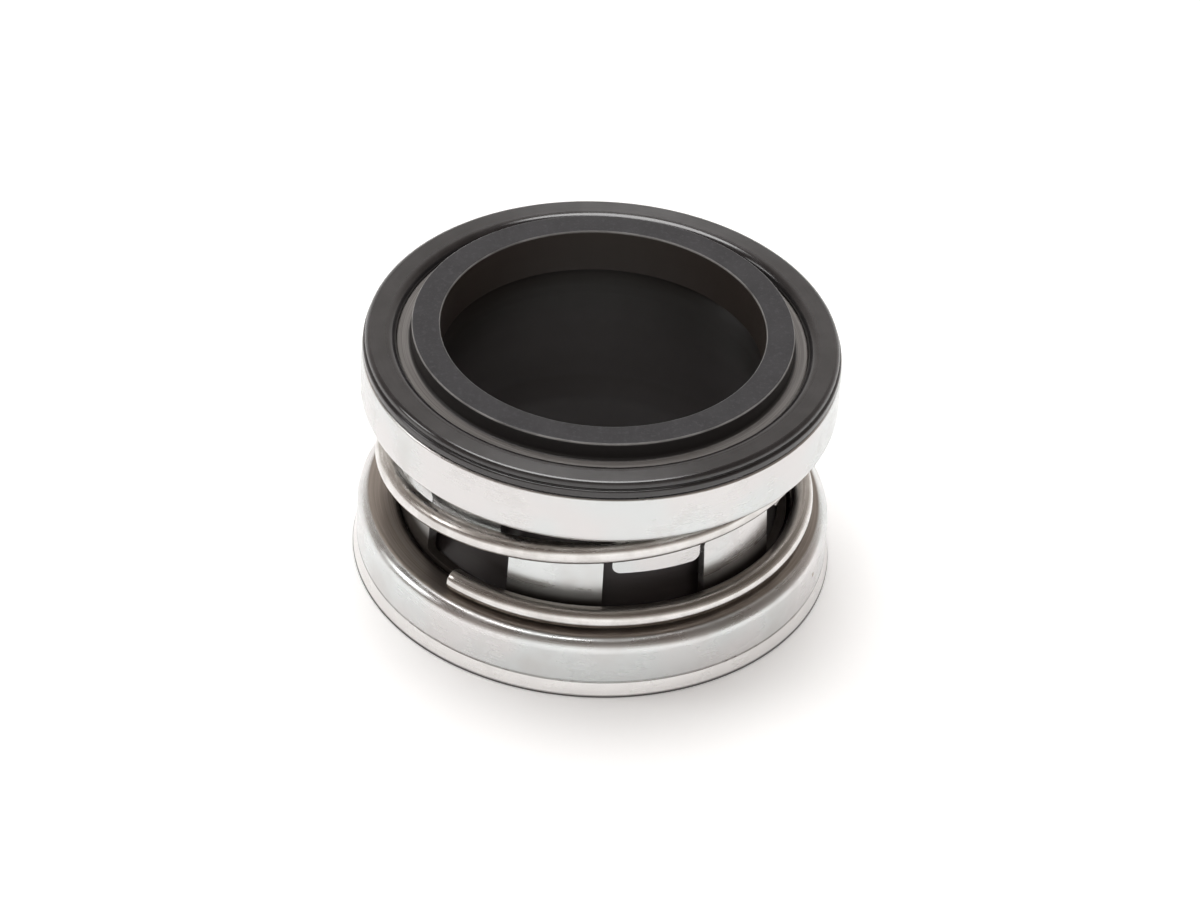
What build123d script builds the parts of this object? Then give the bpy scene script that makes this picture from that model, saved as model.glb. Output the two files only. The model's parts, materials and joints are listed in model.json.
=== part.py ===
"""Rotary head of an elastomer-bellows shaft seal, in millimetres.

The head stands on its tail end. The origin is on the shaft axis at the seat plane, and +Z points
along the shaft towards the sealing face. From the shaft outwards, and from the seat plane up:

  bellows        rubber tail that grips the shaft, thin lobed wall, and a head cup for the face ring
  drive_band     metal cup around the tail, with fingers that leave slots between them
  spring_holder  ring pressed on the band, whose ledge carries the spring
  spring         single round-wire coil with closed ends
  retainer       metal cup around the rubber head, with tabs that hang into the slots and drive it
  primary_ring   carbon face ring with a raised nose, seated in the rubber head
"""
import math
import os

from build123d import *

# Fits
fit_gap = 0.05          # rubber in metal, all round
seat_gap = 0.02         # pieces that seat on or press into each other

# Radial sizes, from the shaft outwards
shaft_radius = 12.5
tail_wall = 2.7         # rubber between the shaft and the band
band_sheet = 0.75
shaft_clearance = 0.7   # metal and carbon stand off the shaft by this much
coil_gap = 0.35         # band to wire
wire_diameter = 1.8
ledge_width = 3.5       # band to the outside of the holder's wall
holder_sheet = 0.5
nose_width = 2.3
shoulder_width = 1.14   # shelf around the nose
lip_wall = 2.12         # rubber around the face ring
bead_overhang = 0.57    # rubber bead that covers the retainer's rim
retainer_sheet = 0.65

# Heights, from the seat plane up
ledge_height = 5.4
collar_height = 2.4     # inner collar of the holder, turned down on the band
tail_height = 4.4
slot_sill = 0.2         # ledge to the floor of a slot
finger_height = 5.7
finger_lean = 0.4       # how far the fingers' tips lean in
spring_length = 10.05   # ledge to the underside of the retainer
tab_length = 5.6
retainer_height = 4.6
floor_thickness = 2.45  # rubber under the face ring
ring_height = 2.3
nose_height = 1.6
lip_height = 0.58       # rubber lip above the shelf

# Drive slots and tabs
drive_count = 6
first_slot_angle = -10.0
slot_angle = 31.5
tab_angle = 26.6
corner_radius = 0.7     # finger tops and tab ends

# Thin wall of the bellows: one lobe between two necks
lobe_clearance = 0.3    # lobe to the inside of the fingers' tips
lobe_wall = 0.8
lobe_depth = 0.4        # how far the lobe stands out from its necks
lobe_rise = 4.4         # tail's top to the widest part of the lobe
lobe_height = 3.2
lobe_bend = 8.0
neck_rise = 1.4         # tail's top to the lower neck, outside
funnel_height = 2.0     # inside, from the shaft's bore out to the lower neck
neck_bend = 1.5

# Spring
spring_start_angle = -129.0
lower_dead_angle = 177.5
rise_angle = 313.0
upper_dead_angle = 180.0
coil_points = 72

# Bends and edges
bend_radius = 0.9       # outside of the retainer's and the band's corners
holder_bend = 1.1       # outside of the bend from the ledge to the holder's wall
collar_bend = 0.6
finger_bend = 2.0       # where the fingers start to lean
tab_bend = 0.3          # inside of the bend from the retainer's floor to a tab
rim_round = 0.25        # outer edge of the retainer's rim
foot_height = 1.3       # flared foot of the holder's wall, cut flat at the seat plane
foot_flare = 0.35
foot_bend = 0.3
lip_round = 0.3
lip_inner_round = 0.5
bead_round = 0.2
floor_round = 1.6       # inner edge of the rubber under the face ring
groove_depth = 0.25     # groove between the lip and the bead
nose_fillet = 0.3
carbon_edge = 0.15
tail_chamfer = 0.4

# Modelling
cutter_margin = 1.0     # how far a cutter passes the faces it cuts
tolerance = 0.1

# Derived radii
tail_radius = shaft_radius + tail_wall
band_bore = tail_radius + fit_gap
lobe_radius = band_bore - finger_lean - lobe_clearance
band_radius = band_bore + band_sheet
holder_radius = band_radius + ledge_width
wire_radius = wire_diameter / 2
coil_radius = band_radius + coil_gap + wire_radius
nose_bore = shaft_radius + shaft_clearance
nose_radius = nose_bore + nose_width
ring_radius = nose_radius + shoulder_width
cup_radius = ring_radius + seat_gap
head_radius = cup_radius + lip_wall
retainer_bore = head_radius + fit_gap
retainer_radius = retainer_bore + retainer_sheet
bead_radius = retainer_bore + bead_overhang

# Derived heights
tail_bottom = band_sheet + fit_gap
tail_top = tail_bottom + tail_height
slot_floor = ledge_height + slot_sill
finger_top = slot_floor + finger_height
retainer_floor = ledge_height + spring_length
retainer_top = retainer_floor + retainer_height
tab_bottom = retainer_floor - tab_length
head_bottom = retainer_floor + retainer_sheet + fit_gap
ring_seat = head_bottom + floor_thickness
ring_bottom = ring_seat + seat_gap
shelf_height = ring_bottom + ring_height
nose_top = shelf_height + nose_height
lip_top = shelf_height + lip_height


def turned(outline):
    """Revolve a closed outline of (radius, height, corner rounding) points."""
    corners = [(radius, height) for radius, height, _ in outline]
    with BuildPart() as body:
        with BuildSketch(Plane.XZ):
            with BuildLine():
                FilletPolyline(*corners, radius=[rounding for _, _, rounding in outline], close=True)
            make_face()
        revolve(axis=Axis.Z)
    return body.part


def sheet_ring(line, sheet):
    """Revolve a bent sheet: a line of (radius, height, bend) points, thickened to its left."""
    corners = [(radius, height) for radius, height, _ in line]
    with BuildPart() as ring:
        with BuildSketch(Plane.XZ):
            with BuildLine():
                FilletPolyline(*corners, radius=[bend for _, _, bend in line[1:-1]])
                offset(amount=sheet, side=Side.LEFT)
            make_face()
        revolve(axis=Axis.Z)
    return ring.part


def sector(outer, low, high, centre_angle, width_angle):
    """Wedge of a cylinder around Z, centred on one angle in degrees."""
    wedge = Cylinder(outer, high - low, arc_size=width_angle, align=(Align.NONE, Align.NONE, Align.MIN))
    return Pos(0, 0, low) * Rot(0, 0, centre_angle - width_angle / 2) * wedge


def corner_edges(part, height, sheet):
    """Level edges straight across the sheet at one height, where its corners are rounded."""
    lines = part.edges().filter_by(GeomType.LINE)
    across = [edge for edge in lines if abs(edge.length - sheet) < tolerance]
    return [edge for edge in across if all(abs(end.Z - height) < tolerance for end in edge.vertices())]


def drive_angles(offset_angle=0.0):
    return [first_slot_angle + offset_angle + 360.0 / drive_count * i for i in range(drive_count)]


def make_drive_band():
    line = [
        (nose_bore, 0, 0),
        (band_radius, 0, bend_radius),
        (band_radius, ledge_height, finger_bend),
        (band_radius - finger_lean, finger_top, 0),
    ]
    band = sheet_ring(line, band_sheet)
    for angle in drive_angles():
        band -= sector(band_radius + cutter_margin, slot_floor, finger_top + cutter_margin, angle, slot_angle)
    band = fillet(corner_edges(band, finger_top, band_sheet), corner_radius)
    return fillet(corner_edges(band, slot_floor, band_sheet), corner_radius / 2)


def make_spring_holder():
    collar_radius = band_radius + seat_gap
    line = [
        (holder_radius + 2 * foot_flare, -foot_height, 0),
        (holder_radius, foot_height, foot_bend),
        (holder_radius, ledge_height, holder_bend),
        (collar_radius, ledge_height, collar_bend),
        (collar_radius, ledge_height - collar_height, 0),
    ]
    return split(sheet_ring(line, holder_sheet), bisect_by=Plane.XY, keep=Keep.TOP)


def coil_point(angle):
    """Centre of the wire after this many degrees of winding: dead coil, rise, dead coil."""
    low = ledge_height + seat_gap + wire_radius
    high = retainer_floor - seat_gap - wire_radius
    part_risen = min(max((angle - lower_dead_angle) / rise_angle, 0), 1)
    height = low + (high - low) * (1 - math.cos(math.pi * part_risen)) / 2
    turn = math.radians(spring_start_angle + angle)
    return (coil_radius * math.cos(turn), coil_radius * math.sin(turn), height)


def make_spring():
    wound = lower_dead_angle + rise_angle + upper_dead_angle
    path = Spline(*[coil_point(wound * i / coil_points) for i in range(coil_points + 1)])
    wire = Plane(origin=path @ 0, z_dir=path % 0) * Circle(wire_radius)
    return sweep(wire, path=path)


def make_retainer():
    line = [
        (band_radius, tab_bottom, 0),
        (band_radius, retainer_floor, tab_bend),
        (retainer_radius, retainer_floor, bend_radius),
        (retainer_radius, retainer_top, 0),
    ]
    cup = sheet_ring(line, retainer_sheet)
    rim = cup.edges().group_by(Axis.Z)[-1].sort_by(SortBy.RADIUS)[-1]
    cup = fillet(rim, rim_round)
    space_angle = 360.0 / drive_count - tab_angle
    for angle in drive_angles(180.0 / drive_count):
        cup -= sector(band_radius + tab_bend, tab_bottom - cutter_margin, retainer_top, angle, space_angle)
    return fillet(corner_edges(cup, tab_bottom, retainer_sheet), corner_radius)


def make_bellows():
    neck_radius = lobe_radius - lobe_depth
    neck_bore = neck_radius - lobe_wall
    lobe_bore = lobe_radius - lobe_wall
    lobe_bottom = tail_top + lobe_rise
    lobe_top = lobe_bottom + lobe_height
    funnel_bottom = tail_top + tail_chamfer
    bead_bottom = retainer_top + fit_gap
    groove_height = (bead_bottom + lip_top) / 2
    return turned(
        [
            (shaft_radius, tail_bottom + tail_chamfer, 0),
            (shaft_radius + tail_chamfer, tail_bottom, 0),
            (tail_radius, tail_bottom, bend_radius - band_sheet + fit_gap),
            (tail_radius, tail_top, tail_chamfer),
            (neck_radius, tail_top + neck_rise, neck_bend),
            (lobe_radius, lobe_bottom, lobe_bend),
            (lobe_radius, lobe_top, lobe_bend),
            (neck_radius, head_bottom, 0),
            (head_radius, head_bottom, bend_radius - retainer_sheet + fit_gap),
            (head_radius, bead_bottom, 0),
            (bead_radius, bead_bottom, bead_round),
            (bead_radius, groove_height, bead_round),
            (bead_radius - groove_depth, groove_height, 0),
            (bead_radius, lip_top, lip_round),
            (cup_radius, lip_top, lip_inner_round),
            (cup_radius, ring_seat, 0),
            (neck_bore, ring_seat, floor_round),
            (neck_bore, head_bottom, neck_bend),
            (lobe_bore, lobe_top, lobe_bend),
            (lobe_bore, lobe_bottom, lobe_bend),
            (neck_bore, funnel_bottom + funnel_height, neck_bend),
            (shaft_radius, funnel_bottom, neck_bend),
        ]
    )


def make_primary_ring():
    return turned(
        [
            (nose_bore, ring_bottom, 0),
            (ring_radius, ring_bottom, 0),
            (ring_radius, shelf_height, carbon_edge),
            (nose_radius, shelf_height, nose_fillet),
            (nose_radius, nose_top, carbon_edge),
            (nose_bore, nose_top, carbon_edge),
        ]
    )


def main():
    pieces = {
        "bellows": make_bellows(),
        "drive_band": make_drive_band(),
        "spring_holder": make_spring_holder(),
        "spring": make_spring(),
        "retainer": make_retainer(),
        "primary_ring": make_primary_ring(),
    }
    os.makedirs("parts", exist_ok=True)
    for node, piece in pieces.items():
        export_step(piece, f"parts/{node}.step")


main()
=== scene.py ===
import json
import math

import bpy
from mathutils import Matrix, Vector


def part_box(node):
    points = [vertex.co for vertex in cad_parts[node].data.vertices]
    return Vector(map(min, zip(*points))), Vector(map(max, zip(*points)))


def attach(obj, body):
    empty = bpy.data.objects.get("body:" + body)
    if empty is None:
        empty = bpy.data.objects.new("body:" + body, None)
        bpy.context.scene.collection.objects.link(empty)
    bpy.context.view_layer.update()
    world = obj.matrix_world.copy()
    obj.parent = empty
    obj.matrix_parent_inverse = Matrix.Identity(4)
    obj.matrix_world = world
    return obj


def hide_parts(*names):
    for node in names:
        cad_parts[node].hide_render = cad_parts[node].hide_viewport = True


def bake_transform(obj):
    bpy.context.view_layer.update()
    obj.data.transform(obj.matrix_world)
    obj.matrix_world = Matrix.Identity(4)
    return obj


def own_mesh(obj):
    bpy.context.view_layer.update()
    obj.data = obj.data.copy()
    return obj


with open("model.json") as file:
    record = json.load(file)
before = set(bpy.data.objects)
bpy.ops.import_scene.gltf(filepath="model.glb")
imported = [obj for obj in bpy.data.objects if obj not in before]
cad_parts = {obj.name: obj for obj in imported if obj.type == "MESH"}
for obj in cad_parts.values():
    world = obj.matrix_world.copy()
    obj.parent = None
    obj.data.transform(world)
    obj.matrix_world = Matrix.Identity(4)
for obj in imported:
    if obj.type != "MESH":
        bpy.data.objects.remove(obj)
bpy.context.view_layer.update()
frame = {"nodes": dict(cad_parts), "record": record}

# Looks of the seal head. The camera, the floor and the light follow the photo. The rubber, the holder and
# the spring get finer meshes of their own, and the other pieces keep the ones from the CAD.

MM = 0.001

# Camera, in metres
CAMERA_PLACE = Vector((0.0, -0.32476, 0.26205))
CAMERA_AIM = Vector((0.00033, 0.00484, 0.00611))
CAMERA_ROLL = math.radians(3.53)
CAMERA_LENS = 150.0
CAMERA_SENSOR = 36.0

# Studio
FLOOR_SIZE = 6.0
FLOOR_WHITE = 0.93
FLOOR_LIFT = 0.21           # glow that keeps the floor outside the shadow white
ROOM_AXIS = Vector((0, -0.087, 0.996))       # the room is darkest this way
ROOM_SIDE = Vector((1, 0, 0))
SIDE_SHADE = 0.55           # its sides are as dark as what lies this much further up
# Light of the room: height along its axis, colour
ROOM_STOPS = (
    (0.00, (1.35, 1.35, 1.35)),
    (0.26, (1.22, 1.20, 1.18)),
    (0.44, (0.85, 0.81, 0.78)),
    (0.59, (0.50, 0.46, 0.43)),
    (0.73, (0.32, 0.285, 0.26)),
    (0.93, (0.17, 0.145, 0.13)),
)
# Round softboxes: direction, half angle in degrees, level
SOFTBOXES = (
    (Vector((-0.08, 0.22, 0.972)), 19, 6.5),
    (Vector((-0.865, 0.05, 0.50)), 9, 4.5),
)
SOFTBOX_BLUR = 0.1          # share of its half angle by which its edge fades inward and outward

# Sizes of the rubber and of the metal around it, in millimetres
FIT_GAP = 0.05              # between the rubber and the sheet metal
SEAT_GAP = 0.02             # between pieces that are pressed on or seated
BAND_SHEET = 0.75
RETAINER_SHEET = 0.65
OUTER_BEND = 0.9            # outside of the bends in both sheets
TAIL_HEIGHT = 4.4
TAIL_CHAMFER = 0.4
FINGER_LEAN = 0.4           # how far the band's fingers lean in
LOBE_CLEARANCE = 0.3        # between the fingers and the lobe
LOBE_WALL = 0.8
LOBE_DEPTH = 0.4            # from the neck out to the lobe
LOBE_RISE = 4.4             # from the tail up to the lobe
LOBE_HEIGHT = 3.2
LOBE_BEND = 8.0
NECK_RISE = 1.4             # from the tail up to the neck
NECK_BEND = 1.5
FUNNEL_HEIGHT = 2.0         # from the shaft's bore up to the neck's
GROOVE_DEPTH = 0.25         # of the groove between bead and lip
LIP_ROUND = 0.4
LIP_INNER_ROUND = 0.75
BEAD_ROUND = 0.2
FLOOR_ROUND = 1.6           # inner edge of the seat under the carbon
CORNER_ROUND = 0.05         # inside corners
EDGE_ROUND = 0.1            # small convex edges of the rubber and the holder

# Carbon ring, in millimetres
NOSE_SHELF = 20.92          # height of the shelf around the nose
NOSE_RADIUS = 15.5

# Wire of the spring, in millimetres, and its winding, in degrees
WIRE_DIAMETER = 1.8
WIRE_EDGE = 0.12            # how far the edges of the cut ends are broken
EDGE_BULGE = 0.3            # the middle of a broken edge lies this share of it from both faces
SPRING_START = -129.0       # where the lower end lies
LOWER_DEAD = 177.5          # lies flat on the ledge
RISE = 313.0                # climbs
UPPER_DEAD = 180.0          # lies flat under the retainer

# Holder's wall, in millimetres
HOLDER_SHEET = 0.5
HOLDER_BEND = 1.1           # outside of the bend from the ledge to the wall
COLLAR_BEND = 0.6
COLLAR_HEIGHT = 2.4         # from the ledge down to the collar's end
FOOT_HEIGHT = 1.3
FOOT_FLARE = 0.35           # from the wall out to the foot's edge
FOOT_ROUND = 0.12
CREASE_DEPTH = 0.08
CREASE_WIDTH = 0.2
CREASE_ROUND = 0.1
CREASE_FLOOR_ROUND = 0.08

# Fineness of the meshes
TURN_STEPS = 288
ARC_STEP = 9                # degrees between the points of a rounded corner
ARC_LEAST = 3               # and the fewest steps it has
STRAIGHT = 1                # degrees of turn under which a corner is not rounded
SUPPORT_REACH = 0.04        # millimetres from a rounded corner to the point that keeps a flat face flat
SUPPORT_SHARE = 0.2         # and at most this share of its rounding
WIRE_SIDES = 40
WIRE_STEPS = 180            # to one turn
WIRE_AHEAD = 0.05           # degrees to each side of a point that give the wire's direction

# Reach of the looks, in millimetres from the face they belong to: where one starts, where it is full
# painted shade: where the band's darkening above the ledge reaches
BAND_SHADE_REACH = (2.5, 1.0)            # above the ledge
# painted shade: where the darkening in the corner at the collar reaches
CORNER_SHADE_REACH = (0.8, 0.4)          # out from the collar
# painted shadow: where the contact shadow at the floor reaches
CONTACT_SHADOW_REACH = (0.36, 0.14)         # above the floor
# painted reflection: where the foot's paler colour reaches
FOOT_REFLECTION_REACH = (0.02, -0.05)              # from the foot's top
# painted shade: where the darkening in the crease reaches
CREASE_SHADE_REACH = (0.2, 0.12)              # above the foot's top
LEDGE_REACH = (-0.08, -0.01)            # under the ledge's top
BORE_REACH = (-0.4, -1.2)               # in from the cup's wall
BORE_DEEP_REACH = (-1.0, -8.0)          # under the cup's floor
FLAT_INNER_REACH = (0.7, 1.0)           # out from the cup's wall
FLAT_OUTER_REACH = (-0.4, -0.6)         # in from the bead's outside
SHELF_LOW_REACH = (0.12, 0.02)          # above the carbon's shelf
SHELF_WIDE_REACH = (0.05, 0.3)          # out from the nose
WALL_IN_REACH = (-0.08, -0.02)          # in from the nose's wall
WALL_DOWN_REACH = (-0.1, -0.2)          # under the nose's top
CARBON_BORE_REACH = (0.06, 0.01)        # out from the nose's bore
# painted highlight: the band under the nose's top where the pale edge lines lie
EDGE_HIGHLIGHT_TOP_REACH = (-0.005, -0.03)        # under the nose's top
EDGE_HIGHLIGHT_FOOT_REACH = (-0.2, -0.12)         # under the nose's top

# Colours of the steel
STEEL_WARM = (1.005, 0.985, 0.98)       # these three are multiplied by the tone of a sheet
STEEL_COOL = (0.97, 1.0, 1.0)
STEEL_DULL = (0.88, 0.8712, 0.8536)
# painted reflection: paler steel for the foot, standing in for the bright floor seen in it
STEEL_FOOT_REFLECTION = (0.80, 0.785, 0.775)
STEEL_RUST = (0.35, 0.22, 0.13)
# painted shade: darker brown steel for the ledge under the retainer and the spring, streaked by the grain
LEDGE_SHADE_DARK = (0.25, 0.215, 0.19)
LEDGE_SHADE_PALE = (0.34, 0.30, 0.265)
# painted shade: dark brown for the crease and for the corner at the collar
CREASE_AND_CORNER_SHADE = (0.10, 0.085, 0.075)
# painted shade: near black for the band down at the ledge
BAND_SHADE = (0.05, 0.038, 0.03)
# painted shadow: near black for the contact shadow at the foot's bottom
CONTACT_SHADOW = (0.03, 0.026, 0.024)
WIRE_BRIGHT = (0.76, 0.745, 0.73)
WIRE_GREY = (0.62, 0.60, 0.58)
# painted shade: brown-grey for the wire's upward faces
WIRE_TOP_SHADE = (0.27, 0.235, 0.20)

# Colours of the rubber
RUBBER_DARK = (0.015, 0.0135, 0.014)
RUBBER_PALE = (0.026, 0.0235, 0.0245)
RUBBER_DUST = (0.16, 0.155, 0.15)
# painted shade: the bore's colour under the carbon
BORE_TOP_SHADE = (0.008, 0.006, 0.0045)
# painted reflection: the bore's paler colour deep down, where it reflects the floor
BORE_DEEP_REFLECTION = (0.028, 0.022, 0.022)

# Colours of the carbon
CARBON_DARK = (0.018, 0.0172, 0.0198)
CARBON_PALE = (0.026, 0.0248, 0.0282)
CARBON_SPECK = (0.10, 0.10, 0.105)
CARBON_PIT = (0.014, 0.014, 0.016)
CARBON_MOTTLE = (0.055, 0.052, 0.060)
# painted sheen: paler colours for the shelf, streaked by the turning rings
CARBON_SHELF_SHEEN_DARK = (0.118, 0.110, 0.104)
CARBON_SHELF_SHEEN_PALE = (0.20, 0.188, 0.18)
# painted shade: plain dark for the nose's side wall
CARBON_WALL_SHADE = (0.018, 0.016, 0.016)
CARBON_BORE = (0.045, 0.036, 0.031)
# painted highlight: pale grey for the lines along the nose's top edges
CARBON_EDGE_HIGHLIGHT = (0.24, 0.235, 0.23)


def in_mm(value):
    return value / MM


def box_mm(node):
    """(outer radius, lowest height, highest height) of a CAD node in millimetres."""
    low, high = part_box(node)
    return in_mm(high.x), in_mm(low.z), in_mm(high.z)


def mount_radius(name):
    """Radius of one of the record's bore mounts in millimetres."""
    mounts = {mount["name"]: mount for mount in frame["record"]["mounts"]}
    return mounts[name]["dims"]["r_mm"]


class Tree:
    """Node tree of a material or of the room, with the steps that all of them are made of."""

    def __init__(self, tree):
        self.nodes = tree.nodes
        self.links = tree.links

    def put(self, value, socket):
        if hasattr(value, "links"):
            self.links.new(value, socket)
        else:
            socket.default_value = value

    def vector(self, operation, first, second=None, scale=None, output="Vector"):
        node = self.nodes.new("ShaderNodeVectorMath")
        node.operation = operation
        self.put(first, node.inputs[0])
        if second is not None:
            self.put(second, node.inputs[1])
        if scale is not None:
            self.put(scale, node.inputs["Scale"])
        return node.outputs[output]

    def math(self, operation, first, second):
        node = self.nodes.new("ShaderNodeMath")
        node.operation = operation
        self.put(first, node.inputs[0])
        self.put(second, node.inputs[1])
        return node.outputs[0]

    def span(self, value, low, high, to_low=0.0, to_high=1.0):
        """Value from low to high, mapped smoothly to another range and held there."""
        node = self.nodes.new("ShaderNodeMapRange")
        node.interpolation_type = "SMOOTHSTEP"
        self.put(value, node.inputs["Value"])
        node.inputs["From Min"].default_value = low
        node.inputs["From Max"].default_value = high
        node.inputs["To Min"].default_value = to_low
        node.inputs["To Max"].default_value = to_high
        return node.outputs["Result"]


# ---------------------------------------------------------------- camera, floor and light


def add_camera():
    data = bpy.data.cameras.new("camera")
    data.lens = CAMERA_LENS
    data.sensor_width = CAMERA_SENSOR
    camera = bpy.data.objects.new("camera", data)
    bpy.context.scene.collection.objects.link(camera)
    look = (CAMERA_AIM - CAMERA_PLACE).to_track_quat("-Z", "Y").to_matrix()
    turn = look @ Matrix.Rotation(CAMERA_ROLL, 3, "Z")
    camera.matrix_world = Matrix.Translation(CAMERA_PLACE) @ turn.to_4x4()
    bpy.context.scene.camera = camera


def add_room():
    """A room that is white low down and brown-grey above, with a softbox overhead and one at the left."""
    world = bpy.data.worlds.new("room")
    bpy.context.scene.world = world
    world.use_nodes = True
    room = Tree(world.node_tree)
    place = room.nodes.new("ShaderNodeTexCoord")

    def toward(axis):
        return room.vector("DOT_PRODUCT", place.outputs["Generated"], axis, output="Value")

    sideways = toward(ROOM_SIDE)
    shade = room.math("MULTIPLY", room.math("MULTIPLY", sideways, sideways), SIDE_SHADE)
    ramp = room.nodes.new("ShaderNodeValToRGB")
    elements = ramp.color_ramp.elements
    while len(elements) < len(ROOM_STOPS):
        elements.new(1.0)
    for element, (position, colour) in zip(elements, ROOM_STOPS):
        element.position = position
        element.color = (*colour, 1)
    room.links.new(room.math("ADD", toward(ROOM_AXIS), shade), ramp.inputs["Fac"])
    light = ramp.outputs["Color"]
    for axis, spread, level in SOFTBOXES:
        outside = math.cos(math.radians(spread * (1 + SOFTBOX_BLUR)))
        inside = math.cos(math.radians(spread * (1 - SOFTBOX_BLUR)))
        light = room.vector("ADD", light, room.span(toward(axis), outside, inside, 0.0, level))
    room.links.new(light, room.nodes["Background"].inputs["Color"])


def add_floor():
    """Pale floor, which glows a little where it is seen directly or in a reflection."""
    half = FLOOR_SIZE / 2
    corners = [(-half, -half, 0), (half, -half, 0), (half, half, 0), (-half, half, 0)]
    mesh = bpy.data.meshes.new("floor")
    mesh.from_pydata(corners, [], [(0, 1, 2, 3)])
    floor = bpy.data.objects.new("floor", mesh)
    bpy.context.scene.collection.objects.link(floor)
    material = bpy.data.materials.new("floor")
    material.use_nodes = True
    tree = Tree(material.node_tree)
    tree.nodes.clear()
    diffuse = tree.nodes.new("ShaderNodeBsdfDiffuse")
    diffuse.inputs["Color"].default_value = (FLOOR_WHITE, FLOOR_WHITE, FLOOR_WHITE, 1)
    path = tree.nodes.new("ShaderNodeLightPath")
    seen = path.outputs["Is Camera Ray"]
    for ray in ("Is Glossy Ray", "Is Transmission Ray"):
        seen = tree.math("MAXIMUM", seen, path.outputs[ray])
    glow = tree.nodes.new("ShaderNodeEmission")
    tree.links.new(tree.math("MULTIPLY", seen, FLOOR_LIFT), glow.inputs["Strength"])
    both = tree.nodes.new("ShaderNodeAddShader")
    tree.links.new(diffuse.outputs[0], both.inputs[0])
    tree.links.new(glow.outputs[0], both.inputs[1])
    out = tree.nodes.new("ShaderNodeOutputMaterial")
    tree.links.new(both.outputs[0], out.inputs["Surface"])
    mesh.materials.append(material)


# ---------------------------------------------------------------- materials


class Surface(Tree):
    """One procedural material. Patterns are in millimetres of the part's own frame."""

    def __init__(self, name, metallic, specular=0.5):
        self.material = bpy.data.materials.new(name)
        self.material.use_nodes = True
        super().__init__(self.material.node_tree)
        self.shader = self.nodes["Principled BSDF"]
        self.shader.inputs["Metallic"].default_value = metallic
        self.shader.inputs["Specular IOR Level"].default_value = specular
        place = self.nodes.new("ShaderNodeTexCoord")
        self.place = self.vector("SCALE", place.outputs["Object"], scale=1 / MM)
        split = self.nodes.new("ShaderNodeSeparateXYZ")
        self.links.new(self.place, split.inputs[0])
        self.height = split.outputs["Z"]
        flat = self.nodes.new("ShaderNodeCombineXYZ")
        self.links.new(split.outputs["X"], flat.inputs["X"])
        self.links.new(split.outputs["Y"], flat.inputs["Y"])
        self.radius = self.vector("LENGTH", flat.outputs[0], output="Value")
        self.around = self.vector("NORMALIZE", flat.outputs[0])

    def near(self, measure, face, reach, amount=1.0):
        """Height or radius as a mask: 0 where a look starts, this amount where it is full."""
        start, full = reach
        return self.span(measure, face + start, face + full, 0.0, amount)

    def noise(self, per_mm, detail=4.0, roughness=0.5, vector=None, shift=0.0):
        node = self.nodes.new("ShaderNodeTexNoise")
        node.noise_dimensions = "4D"
        self.put(self.place if vector is None else vector, node.inputs["Vector"])
        self.put(shift, node.inputs["W"])
        node.inputs["Scale"].default_value = per_mm
        node.inputs["Detail"].default_value = detail
        node.inputs["Roughness"].default_value = roughness
        return node.outputs["Fac"]

    def turned(self, per_mm, stretch, detail=3.0):
        """Noise drawn out around the axis, as turning or brushing leaves it."""
        around = self.vector("SCALE", self.around, scale=stretch)
        level = self.nodes.new("ShaderNodeCombineXYZ")
        self.links.new(self.math("MULTIPLY", self.height, per_mm), level.inputs["Z"])
        place = self.vector("ADD", around, level.outputs[0])
        shift = self.math("MULTIPLY", self.radius, per_mm)
        return self.noise(per_mm=1.0, detail=detail, roughness=0.6, vector=place, shift=shift)

    def specks(self, per_mm, size, share):
        """Sparse spots: 1 in the inner half of a spot, 0 outside it. This share of the cells has one."""
        node = self.nodes.new("ShaderNodeTexVoronoi")
        node.feature = "F1"
        self.links.new(self.place, node.inputs["Vector"])
        node.inputs["Scale"].default_value = per_mm
        spot = self.span(node.outputs["Distance"], size, size * 0.5)
        chosen = self.nodes.new("ShaderNodeSeparateColor")
        self.links.new(node.outputs["Color"], chosen.inputs[0])
        return self.math("MULTIPLY", spot, self.math("LESS_THAN", chosen.outputs["Red"], share))

    def mix(self, factor, first, second, amount=1.0):
        """Colour from the first to the second. Inputs 6 and 7 and output 2 are the node's colours."""
        if amount != 1.0:
            factor = self.math("MULTIPLY", factor, amount)
        node = self.nodes.new("ShaderNodeMix")
        node.data_type = "RGBA"
        self.put(factor, node.inputs["Factor"])
        for value, socket in ((first, node.inputs[6]), (second, node.inputs[7])):
            self.put(value if hasattr(value, "links") else (*value, 1), socket)
        return node.outputs[2]

    def bump(self, height, depth_mm, strength=1.0):
        """Adds fine relief of this depth. Called again, it goes over the relief before it."""
        node = self.nodes.new("ShaderNodeBump")
        node.inputs["Strength"].default_value = strength
        node.inputs["Distance"].default_value = depth_mm * MM
        self.links.new(height, node.inputs["Height"])
        if self.shader.inputs["Normal"].links:
            self.links.new(self.shader.inputs["Normal"].links[0].from_socket, node.inputs["Normal"])
        self.links.new(node.outputs["Normal"], self.shader.inputs["Normal"])

    def brush(self, amount):
        """Draws highlights out across the ring marks that go around the axis."""
        tangent = self.nodes.new("ShaderNodeTangent")
        tangent.direction_type = "RADIAL"
        tangent.axis = "Z"
        self.links.new(tangent.outputs[0], self.shader.inputs["Tangent"])
        self.shader.inputs["Anisotropic"].default_value = amount
        quarter_turn = 0.25
        self.shader.inputs["Anisotropic Rotation"].default_value = quarter_turn

    def rougher(self, roughness, mask, amount):
        """Roughness with this amount added where the mask is 1."""
        return self.math("ADD", roughness, self.math("MULTIPLY", mask, amount))

    def finish(self, colour, roughness):
        self.put(colour, self.shader.inputs["Base Color"])
        self.put(roughness, self.shader.inputs["Roughness"])
        return self.material


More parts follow.
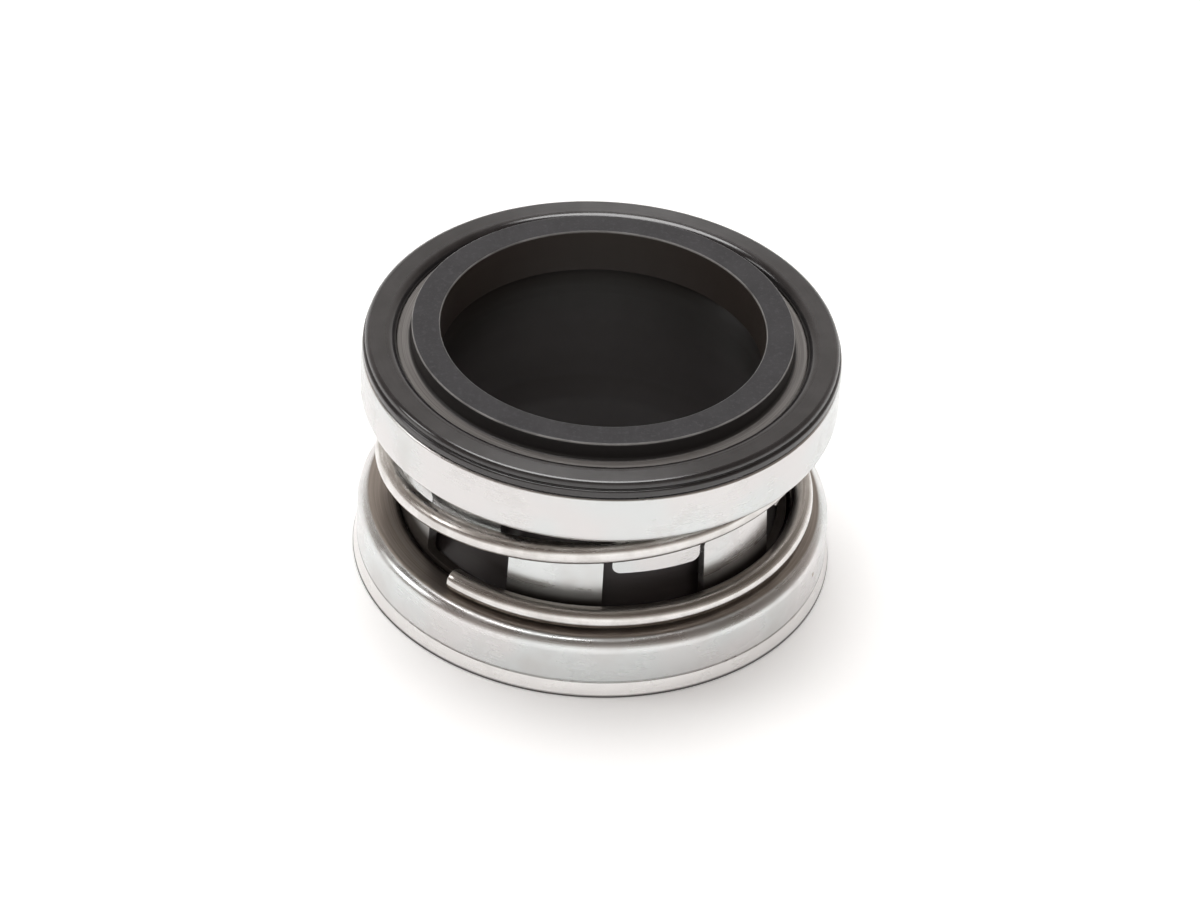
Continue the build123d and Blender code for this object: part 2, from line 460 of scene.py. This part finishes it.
def add_sheet(surface, tone, rough, rust=0.0):
    """Colour, roughness and grain of bright sheet: cloudy tints, grain around the axis, specks of rust."""
    cloud = surface.noise(per_mm=0.22, detail=3.0, roughness=0.55)
    tint = surface.noise(per_mm=0.12, detail=2.0, shift=3.0)
    grain = surface.turned(per_mm=9.0, stretch=2.0)
    warm, cool, dull = (
        tuple(tone * part for part in colour) for colour in (STEEL_WARM, STEEL_COOL, STEEL_DULL)
    )
    colour = surface.mix(surface.span(tint, 0.4, 0.6), warm, cool)
    colour = surface.mix(surface.span(cloud, 0.5, 0.75), colour, dull, amount=0.7)
    surface.bump(grain, depth_mm=0.006, strength=0.5)
    surface.bump(surface.noise(per_mm=0.35, detail=2.0), depth_mm=0.03, strength=0.35)
    uneven = surface.math("ADD", surface.span(cloud, 0.35, 0.7, rough * 0.8, rough * 1.3),
                          surface.span(grain, 0.3, 0.7, 0.0, 0.06))
    if rust:
        stain = surface.specks(per_mm=0.55, size=0.16, share=rust)
        colour = surface.mix(stain, colour, STEEL_RUST, amount=0.7)
        uneven = surface.rougher(uneven, stain, 0.3)
    return colour, uneven, grain


def retainer_steel(name):
    surface = Surface(name, metallic=1.0)
    colour, uneven, _ = add_sheet(surface, tone=0.69, rough=0.22)
    return surface.finish(colour, uneven)


def band_steel(name, ledge_height):
    """Bright sheet with painted shade that turns it nearly black down where it meets the holder's ledge."""
    surface = Surface(name, metallic=1.0)
    colour, uneven, _ = add_sheet(surface, tone=0.72, rough=0.24)
    # Painted shade: the band is painted nearly black down by the ledge.
    band_shade = surface.near(surface.height, ledge_height, BAND_SHADE_REACH, amount=0.94)
    colour = surface.mix(band_shade, colour, BAND_SHADE)
    return surface.finish(colour, surface.rougher(uneven, band_shade, 0.5))


def holder_steel(name, ledge_height, collar_radius):
    """Bright sheet with painted shade on a brown ledge, in a dark crease and at the collar, a painted
    contact shadow at the floor, and a foot painted brighter as a painted reflection of the floor.
    """
    surface = Surface(name, metallic=1.0)
    colour, uneven, grain = add_sheet(surface, tone=0.71, rough=0.25, rust=0.08)
    # Painted reflection: the foot is painted paler, standing in for the bright floor seen in it.
    foot = surface.near(surface.height, FOOT_HEIGHT, FOOT_REFLECTION_REACH)
    colour = surface.mix(foot, colour, STEEL_FOOT_REFLECTION)
    # Painted shade: the ledge is painted darker brown, streaked by the grain, for the shade under the
    # retainer and the spring.
    ledge = surface.near(surface.height, ledge_height, LEDGE_REACH)
    brown = surface.mix(surface.span(grain, 0.3, 0.7), LEDGE_SHADE_DARK, LEDGE_SHADE_PALE)
    colour = surface.mix(ledge, colour, brown)
    # Painted shade: the crease above the foot is painted dark.
    crease = surface.near(surface.height, FOOT_HEIGHT, CREASE_SHADE_REACH, amount=0.32)
    crease = surface.math("MULTIPLY", crease, surface.math("SUBTRACT", 1.0, foot))
    # Painted shade: the ledge's corner at the collar is painted dark.
    corner = surface.near(surface.radius, collar_radius, CORNER_SHADE_REACH, amount=0.85)
    colour = surface.mix(surface.math("MAXIMUM", crease, corner), colour, CREASE_AND_CORNER_SHADE)
    # Painted shadow: the foot's bottom is painted near black as a contact shadow.
    contact_shadow_mask = surface.near(surface.height, 0, CONTACT_SHADOW_REACH)
    colour = surface.mix(contact_shadow_mask, colour, CONTACT_SHADOW, amount=0.92)
    rough = surface.rougher(uneven, ledge, 0.12)
    return surface.finish(colour, surface.rougher(rough, contact_shadow_mask, 0.3))


def wire_steel(name):
    """Drawn wire, bright below, with painted shade: streaked brown-grey where it faces up."""
    surface = Surface(name, metallic=1.0)
    grain = surface.turned(per_mm=14.0, stretch=3.0)
    streak = surface.turned(per_mm=5.0, stretch=1.2)
    tint = surface.noise(per_mm=0.5, detail=3.0, roughness=0.55)
    colour = surface.mix(surface.span(tint, 0.35, 0.7), WIRE_BRIGHT, WIRE_GREY)
    # Painted shade: the wire's upward faces are painted brown-grey, broken into streaks.
    facing = surface.nodes.new("ShaderNodeNewGeometry")
    lean = surface.nodes.new("ShaderNodeSeparateXYZ")
    surface.links.new(facing.outputs["Normal"], lean.inputs[0])
    top_shade = surface.math("MULTIPLY", surface.span(lean.outputs["Z"], 0.45, 0.8),
                           surface.span(streak, 0.3, 0.6, 0.35, 0.75))
    colour = surface.mix(top_shade, colour, WIRE_TOP_SHADE)
    surface.bump(grain, depth_mm=0.006, strength=0.5)
    rough = surface.span(grain, 0.3, 0.7, 0.12, 0.20)
    return surface.finish(colour, surface.rougher(rough, top_shade, 0.25))


def rubber(name, bead_radius, cup_radius, cup_floor):
    """Moulded rubber: satin with ring marks, glossier at the lip's edges, dull and browner in the bore,
    whose colour is painted shade under the carbon and a painted reflection of the floor deeper down.
    """
    surface = Surface(name, metallic=0.0, specular=0.85)
    patch = surface.noise(per_mm=0.5, roughness=0.6)
    fine = surface.noise(per_mm=7.0, detail=3.0, roughness=0.6)
    rings = surface.turned(per_mm=4.5, stretch=1.2, detail=2.0)
    outside = surface.mix(surface.span(patch, 0.35, 0.7), RUBBER_DARK, RUBBER_PALE)
    outside = surface.mix(surface.span(fine, 0.6, 0.8), outside, RUBBER_DUST, amount=0.12)
    # Painted shade under the carbon turns into a painted reflection of the floor deeper down.
    deep = surface.near(surface.height, cup_floor, BORE_DEEP_REACH)
    inside = surface.mix(deep, BORE_TOP_SHADE, BORE_DEEP_REFLECTION)
    in_bore = surface.near(surface.radius, cup_radius, BORE_REACH)
    surface.bump(fine, depth_mm=0.006, strength=0.4)
    surface.bump(rings, depth_mm=0.02, strength=0.5)
    surface.brush(0.8)
    flat = surface.math("MULTIPLY", surface.near(surface.radius, cup_radius, FLAT_INNER_REACH),
                        surface.near(surface.radius, bead_radius, FLAT_OUTER_REACH))
    rough = surface.rougher(surface.span(patch, 0.3, 0.7, 0.14, 0.18), flat, 0.14)
    rough = surface.math("MAXIMUM", surface.math("MULTIPLY", in_bore, 0.6), rough)
    return surface.finish(surface.mix(in_bore, outside, inside), rough)


def carbon(name, nose_top, shelf_height, nose_radius, bore_radius):
    """Turned carbon: dark lapped face with fine speckle and pale edges painted as highlights, a wall
    painted dark as shade, a shelf painted paler as sheen, and a paler bore.
    """
    surface = Surface(name, metallic=0.0, specular=0.34)
    speckle = surface.noise(per_mm=9.0, roughness=0.7)
    cloud = surface.noise(per_mm=0.4, detail=3.0)
    mottle = surface.noise(per_mm=2.4, detail=3.0, roughness=0.6)
    rings = surface.turned(per_mm=11.0, stretch=1.5)
    face = surface.mix(surface.span(cloud, 0.3, 0.7), CARBON_DARK, CARBON_PALE)
    face = surface.mix(surface.span(speckle, 0.55, 0.75), face, CARBON_SPECK, amount=0.6)
    face = surface.mix(surface.span(speckle, 0.45, 0.28), face, CARBON_PIT, amount=0.7)
    face = surface.mix(surface.span(mottle, 0.5, 0.7), face, CARBON_MOTTLE, amount=0.5)
    # Painted sheen: the shelf is painted paler, streaked by the turning rings.
    dull = surface.mix(surface.span(rings, 0.35, 0.65), CARBON_SHELF_SHEEN_DARK, CARBON_SHELF_SHEEN_PALE)
    low = surface.near(surface.height, shelf_height, SHELF_LOW_REACH)
    wide = surface.near(surface.radius, nose_radius, SHELF_WIDE_REACH)
    colour = surface.mix(surface.math("MULTIPLY", low, wide), face, dull)
    # Painted shade: the nose's side wall is painted dark.
    wall = surface.math("MULTIPLY", surface.near(surface.radius, nose_radius, WALL_IN_REACH),
                        surface.near(surface.height, nose_top, WALL_DOWN_REACH))
    wall = surface.math("MULTIPLY", wall, surface.math("SUBTRACT", 1.0, wide))
    colour = surface.mix(wall, colour, CARBON_WALL_SHADE)
    bore = surface.near(surface.radius, bore_radius, CARBON_BORE_REACH)
    colour = surface.mix(bore, colour, CARBON_BORE)
    # Painted highlight: pale lines along the nose's top edges, broken up by the cloud.
    edge = surface.math("MULTIPLY", surface.near(surface.height, nose_top, EDGE_HIGHLIGHT_TOP_REACH),
                        surface.near(surface.height, nose_top, EDGE_HIGHLIGHT_FOOT_REACH))
    edge = surface.math("MULTIPLY", edge, surface.span(cloud, 0.3, 0.6, 0.5, 1.0))
    colour = surface.mix(edge, colour, CARBON_EDGE_HIGHLIGHT)
    surface.bump(speckle, depth_mm=0.01, strength=0.5)
    surface.bump(rings, depth_mm=0.012, strength=0.35)
    return surface.finish(colour, surface.span(speckle, 0.3, 0.7, 0.36, 0.46))


# ---------------------------------------------------------------- shapes


def corner_arc(before, corner, after, rounding):
    """Points that round one corner, with a support point at each end that keeps flat faces flat."""
    place = Vector(corner)
    back = (Vector(before) - place).normalized()
    ahead = (Vector(after) - place).normalized()
    turn = math.pi - back.angle(ahead)
    if rounding <= 0 or turn < math.radians(STRAIGHT):
        return [tuple(place)]
    reach = rounding * math.tan(turn / 2)
    centre = place + (back + ahead).normalized() * (rounding / math.cos(turn / 2))
    start = place + back * reach
    steps = max(ARC_LEAST, math.ceil(math.degrees(turn) / ARC_STEP))
    side = 1 if back.x * ahead.y - back.y * ahead.x < 0 else -1
    spoke = start - centre
    points = []
    for step in range(steps + 1):
        angle = side * turn * step / steps
        points.append(tuple(centre + Matrix.Rotation(angle, 2) @ spoke))
    support = min(SUPPORT_REACH, rounding * SUPPORT_SHARE)
    first = tuple(start + back * support)
    last = tuple(place + ahead * (reach + support))
    return [first, *points, last]


def lathe(name, outline):
    """Turned piece from a closed outline of (radius, height, corner rounding) in millimetres."""
    profile = []
    for index, (radius, height, rounding) in enumerate(outline):
        before = outline[index - 1][:2]
        after = outline[(index + 1) % len(outline)][:2]
        profile += corner_arc(before, (radius, height), after, rounding)
    count = len(profile)
    points = []
    for step in range(TURN_STEPS):
        angle = math.tau * step / TURN_STEPS
        points += [(r * MM * math.cos(angle), r * MM * math.sin(angle), z * MM) for r, z in profile]
    faces = []
    for step in range(TURN_STEPS):
        here = step * count
        there = (step + 1) % TURN_STEPS * count
        for index in range(count):
            along = (index + 1) % count
            faces.append((here + index, there + index, there + along, here + along))
    return add_mesh(name, points, faces)


def add_mesh(name, points, faces, sharp_angle=35):
    mesh = bpy.data.meshes.new(name)
    mesh.from_pydata(points, [], faces)
    mesh.validate()
    mesh.polygons.foreach_set("use_smooth", [True] * len(mesh.polygons))
    mesh.set_sharp_from_angle(angle=math.radians(sharp_angle))
    piece = bpy.data.objects.new(name, mesh)
    bpy.context.scene.collection.objects.link(piece)
    return piece


def make_bellows():
    """Rubber body: tail, one-lobe wall, head cup with its bead and lip."""
    shaft_radius = mount_radius("shaft_bore")
    bead_radius, tail_bottom, lip_top = box_mm("bellows")
    retainer_radius, _, retainer_top = box_mm("retainer")
    band_radius, _, _ = box_mm("drive_band")
    ring_radius, ring_bottom, _ = box_mm("primary_ring")
    _, _, spring_top = box_mm("spring")
    tail_radius = band_radius - BAND_SHEET - FIT_GAP
    tail_top = tail_bottom + TAIL_HEIGHT
    lobe_radius = tail_radius + FIT_GAP - FINGER_LEAN - LOBE_CLEARANCE
    neck_radius = lobe_radius - LOBE_DEPTH
    neck_bore = neck_radius - LOBE_WALL
    lobe_bore = lobe_radius - LOBE_WALL
    lobe_bottom = tail_top + LOBE_RISE
    lobe_top = lobe_bottom + LOBE_HEIGHT
    head_radius = retainer_radius - RETAINER_SHEET - FIT_GAP
    head_bottom = spring_top + SEAT_GAP + RETAINER_SHEET + FIT_GAP
    bead_bottom = retainer_top + FIT_GAP
    groove_height = (bead_bottom + lip_top) / 2
    cup_radius = ring_radius + SEAT_GAP
    ring_seat = ring_bottom - SEAT_GAP
    funnel_bottom = tail_top + TAIL_CHAMFER
    outline = [
        (shaft_radius, tail_bottom + TAIL_CHAMFER, EDGE_ROUND),
        (shaft_radius + TAIL_CHAMFER, tail_bottom, EDGE_ROUND),
        (tail_radius, tail_bottom, OUTER_BEND - BAND_SHEET + FIT_GAP),
        (tail_radius, tail_top, TAIL_CHAMFER),
        (neck_radius, tail_top + NECK_RISE, NECK_BEND),
        (lobe_radius, lobe_bottom, LOBE_BEND),
        (lobe_radius, lobe_top, LOBE_BEND),
        (neck_radius, head_bottom, CORNER_ROUND),
        (head_radius, head_bottom, OUTER_BEND - RETAINER_SHEET + FIT_GAP),
        (head_radius, bead_bottom, CORNER_ROUND),
        (bead_radius, bead_bottom, BEAD_ROUND),
        (bead_radius, groove_height, BEAD_ROUND),
        (bead_radius - GROOVE_DEPTH, groove_height, CORNER_ROUND),
        (bead_radius, lip_top, LIP_ROUND),
        (cup_radius, lip_top, LIP_INNER_ROUND),
        (cup_radius, ring_seat, CORNER_ROUND),
        (neck_bore, ring_seat, FLOOR_ROUND),
        (neck_bore, head_bottom, NECK_BEND),
        (lobe_bore, lobe_top, LOBE_BEND),
        (lobe_bore, lobe_bottom, LOBE_BEND),
        (neck_bore, funnel_bottom + FUNNEL_HEIGHT, NECK_BEND),
        (shaft_radius, funnel_bottom, NECK_BEND),
    ]
    piece = lathe("rubber_bellows", outline)
    piece.data.materials.append(rubber("rubber", bead_radius, cup_radius, ring_seat))
    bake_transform(piece)
    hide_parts("bellows")


def make_holder():
    """Turned sheet ring: flared foot with a pressed crease above it, wall, ledge and collar."""
    foot_radius, _, ledge_height = box_mm("spring_holder")
    band_radius, _, _ = box_mm("drive_band")
    holder_radius = foot_radius - FOOT_FLARE
    collar = band_radius + SEAT_GAP
    inside = holder_radius - HOLDER_SHEET
    outline = [
        (foot_radius, 0, FOOT_ROUND),
        (holder_radius, FOOT_HEIGHT, CREASE_ROUND),
        (holder_radius - CREASE_DEPTH, FOOT_HEIGHT + CREASE_WIDTH / 2, CREASE_FLOOR_ROUND),
        (holder_radius, FOOT_HEIGHT + CREASE_WIDTH, CREASE_ROUND),
        (holder_radius, ledge_height, HOLDER_BEND),
        (collar, ledge_height, COLLAR_BEND),
        (collar, ledge_height - COLLAR_HEIGHT, EDGE_ROUND),
        (collar + HOLDER_SHEET, ledge_height - COLLAR_HEIGHT, EDGE_ROUND),
        (collar + HOLDER_SHEET, ledge_height - HOLDER_SHEET, COLLAR_BEND - HOLDER_SHEET),
        (inside, ledge_height - HOLDER_SHEET, HOLDER_BEND - HOLDER_SHEET),
        (inside, FOOT_HEIGHT, 0),
        (foot_radius - HOLDER_SHEET, 0, EDGE_ROUND),
    ]
    piece = lathe("holder_ring", outline)
    piece.data.materials.append(holder_steel("holder_steel", ledge_height, collar))
    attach(piece, "tail")
    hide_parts("spring_holder")


def coil_place(angle, low, high, coil_radius):
    """Centre of the wire after this many degrees of winding, in millimetres."""
    risen = min(max((angle - LOWER_DEAD) / RISE, 0), 1)
    height = low + (high - low) * (1 - math.cos(math.pi * risen)) / 2
    turn = math.radians(SPRING_START + angle)
    return Vector((coil_radius * math.cos(turn), coil_radius * math.sin(turn), height))


def make_spring():
    """Round wire swept along the coil, with the cut ends' edges broken."""
    outer_radius, bottom, top = box_mm("spring")
    wire = WIRE_DIAMETER / 2
    coil_radius = outer_radius - wire
    low = bottom + wire
    high = top - wire
    wound = LOWER_DEAD + RISE + UPPER_DEAD
    trim = math.degrees(WIRE_EDGE / coil_radius)
    cuts = [(0, wire - WIRE_EDGE), (trim * EDGE_BULGE, wire - WIRE_EDGE * EDGE_BULGE)]
    middle = math.ceil(WIRE_STEPS * wound / 360)
    along = [(trim + (wound - 2 * trim) * step / middle, wire) for step in range(middle + 1)]
    stations = cuts + along + [(wound - angle, size) for angle, size in reversed(cuts)]
    points = []
    for angle, size in stations:
        centre = coil_place(angle, low, high, coil_radius)
        ahead = coil_place(angle + WIRE_AHEAD, low, high, coil_radius)
        behind = coil_place(angle - WIRE_AHEAD, low, high, coil_radius)
        tangent = (ahead - behind).normalized()
        outward = Vector((centre.x, centre.y, 0)).normalized()
        side = tangent.cross(outward).normalized()
        outward = side.cross(tangent)
        for step in range(WIRE_SIDES):
            turn = math.tau * step / WIRE_SIDES
            place = centre + (outward * math.cos(turn) + side * math.sin(turn)) * size
            points.append(tuple(place * MM))
    faces = []
    for row in range(len(stations) - 1):
        here = row * WIRE_SIDES
        there = here + WIRE_SIDES
        for step in range(WIRE_SIDES):
            across = (step + 1) % WIRE_SIDES
            faces.append((here + step, here + across, there + across, there + step))
    faces.append(tuple(reversed(range(WIRE_SIDES))))
    last = (len(stations) - 1) * WIRE_SIDES
    faces.append(tuple(range(last, last + WIRE_SIDES)))
    piece = add_mesh("spring_wire", points, faces, sharp_angle=60)
    piece.data.materials.append(wire_steel("spring_steel"))
    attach(piece, "tail")
    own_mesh(piece)
    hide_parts("spring")


def dress(node, material):
    """Gives a CAD node that stays in the picture its finish."""
    mesh = frame["nodes"][node].data
    mesh.materials.clear()
    mesh.materials.append(material)


add_camera()
add_floor()
add_room()
bpy.context.scene.view_settings.view_transform = "Standard"

make_bellows()
make_holder()
make_spring()
dress("retainer", retainer_steel("retainer_steel"))
_, _, ledge_height = box_mm("spring_holder")
dress("drive_band", band_steel("band_steel", ledge_height))
_, _, nose_top = box_mm("primary_ring")
dress("primary_ring", carbon("carbon", nose_top, NOSE_SHELF, NOSE_RADIUS, mount_radius("nose_bore")))
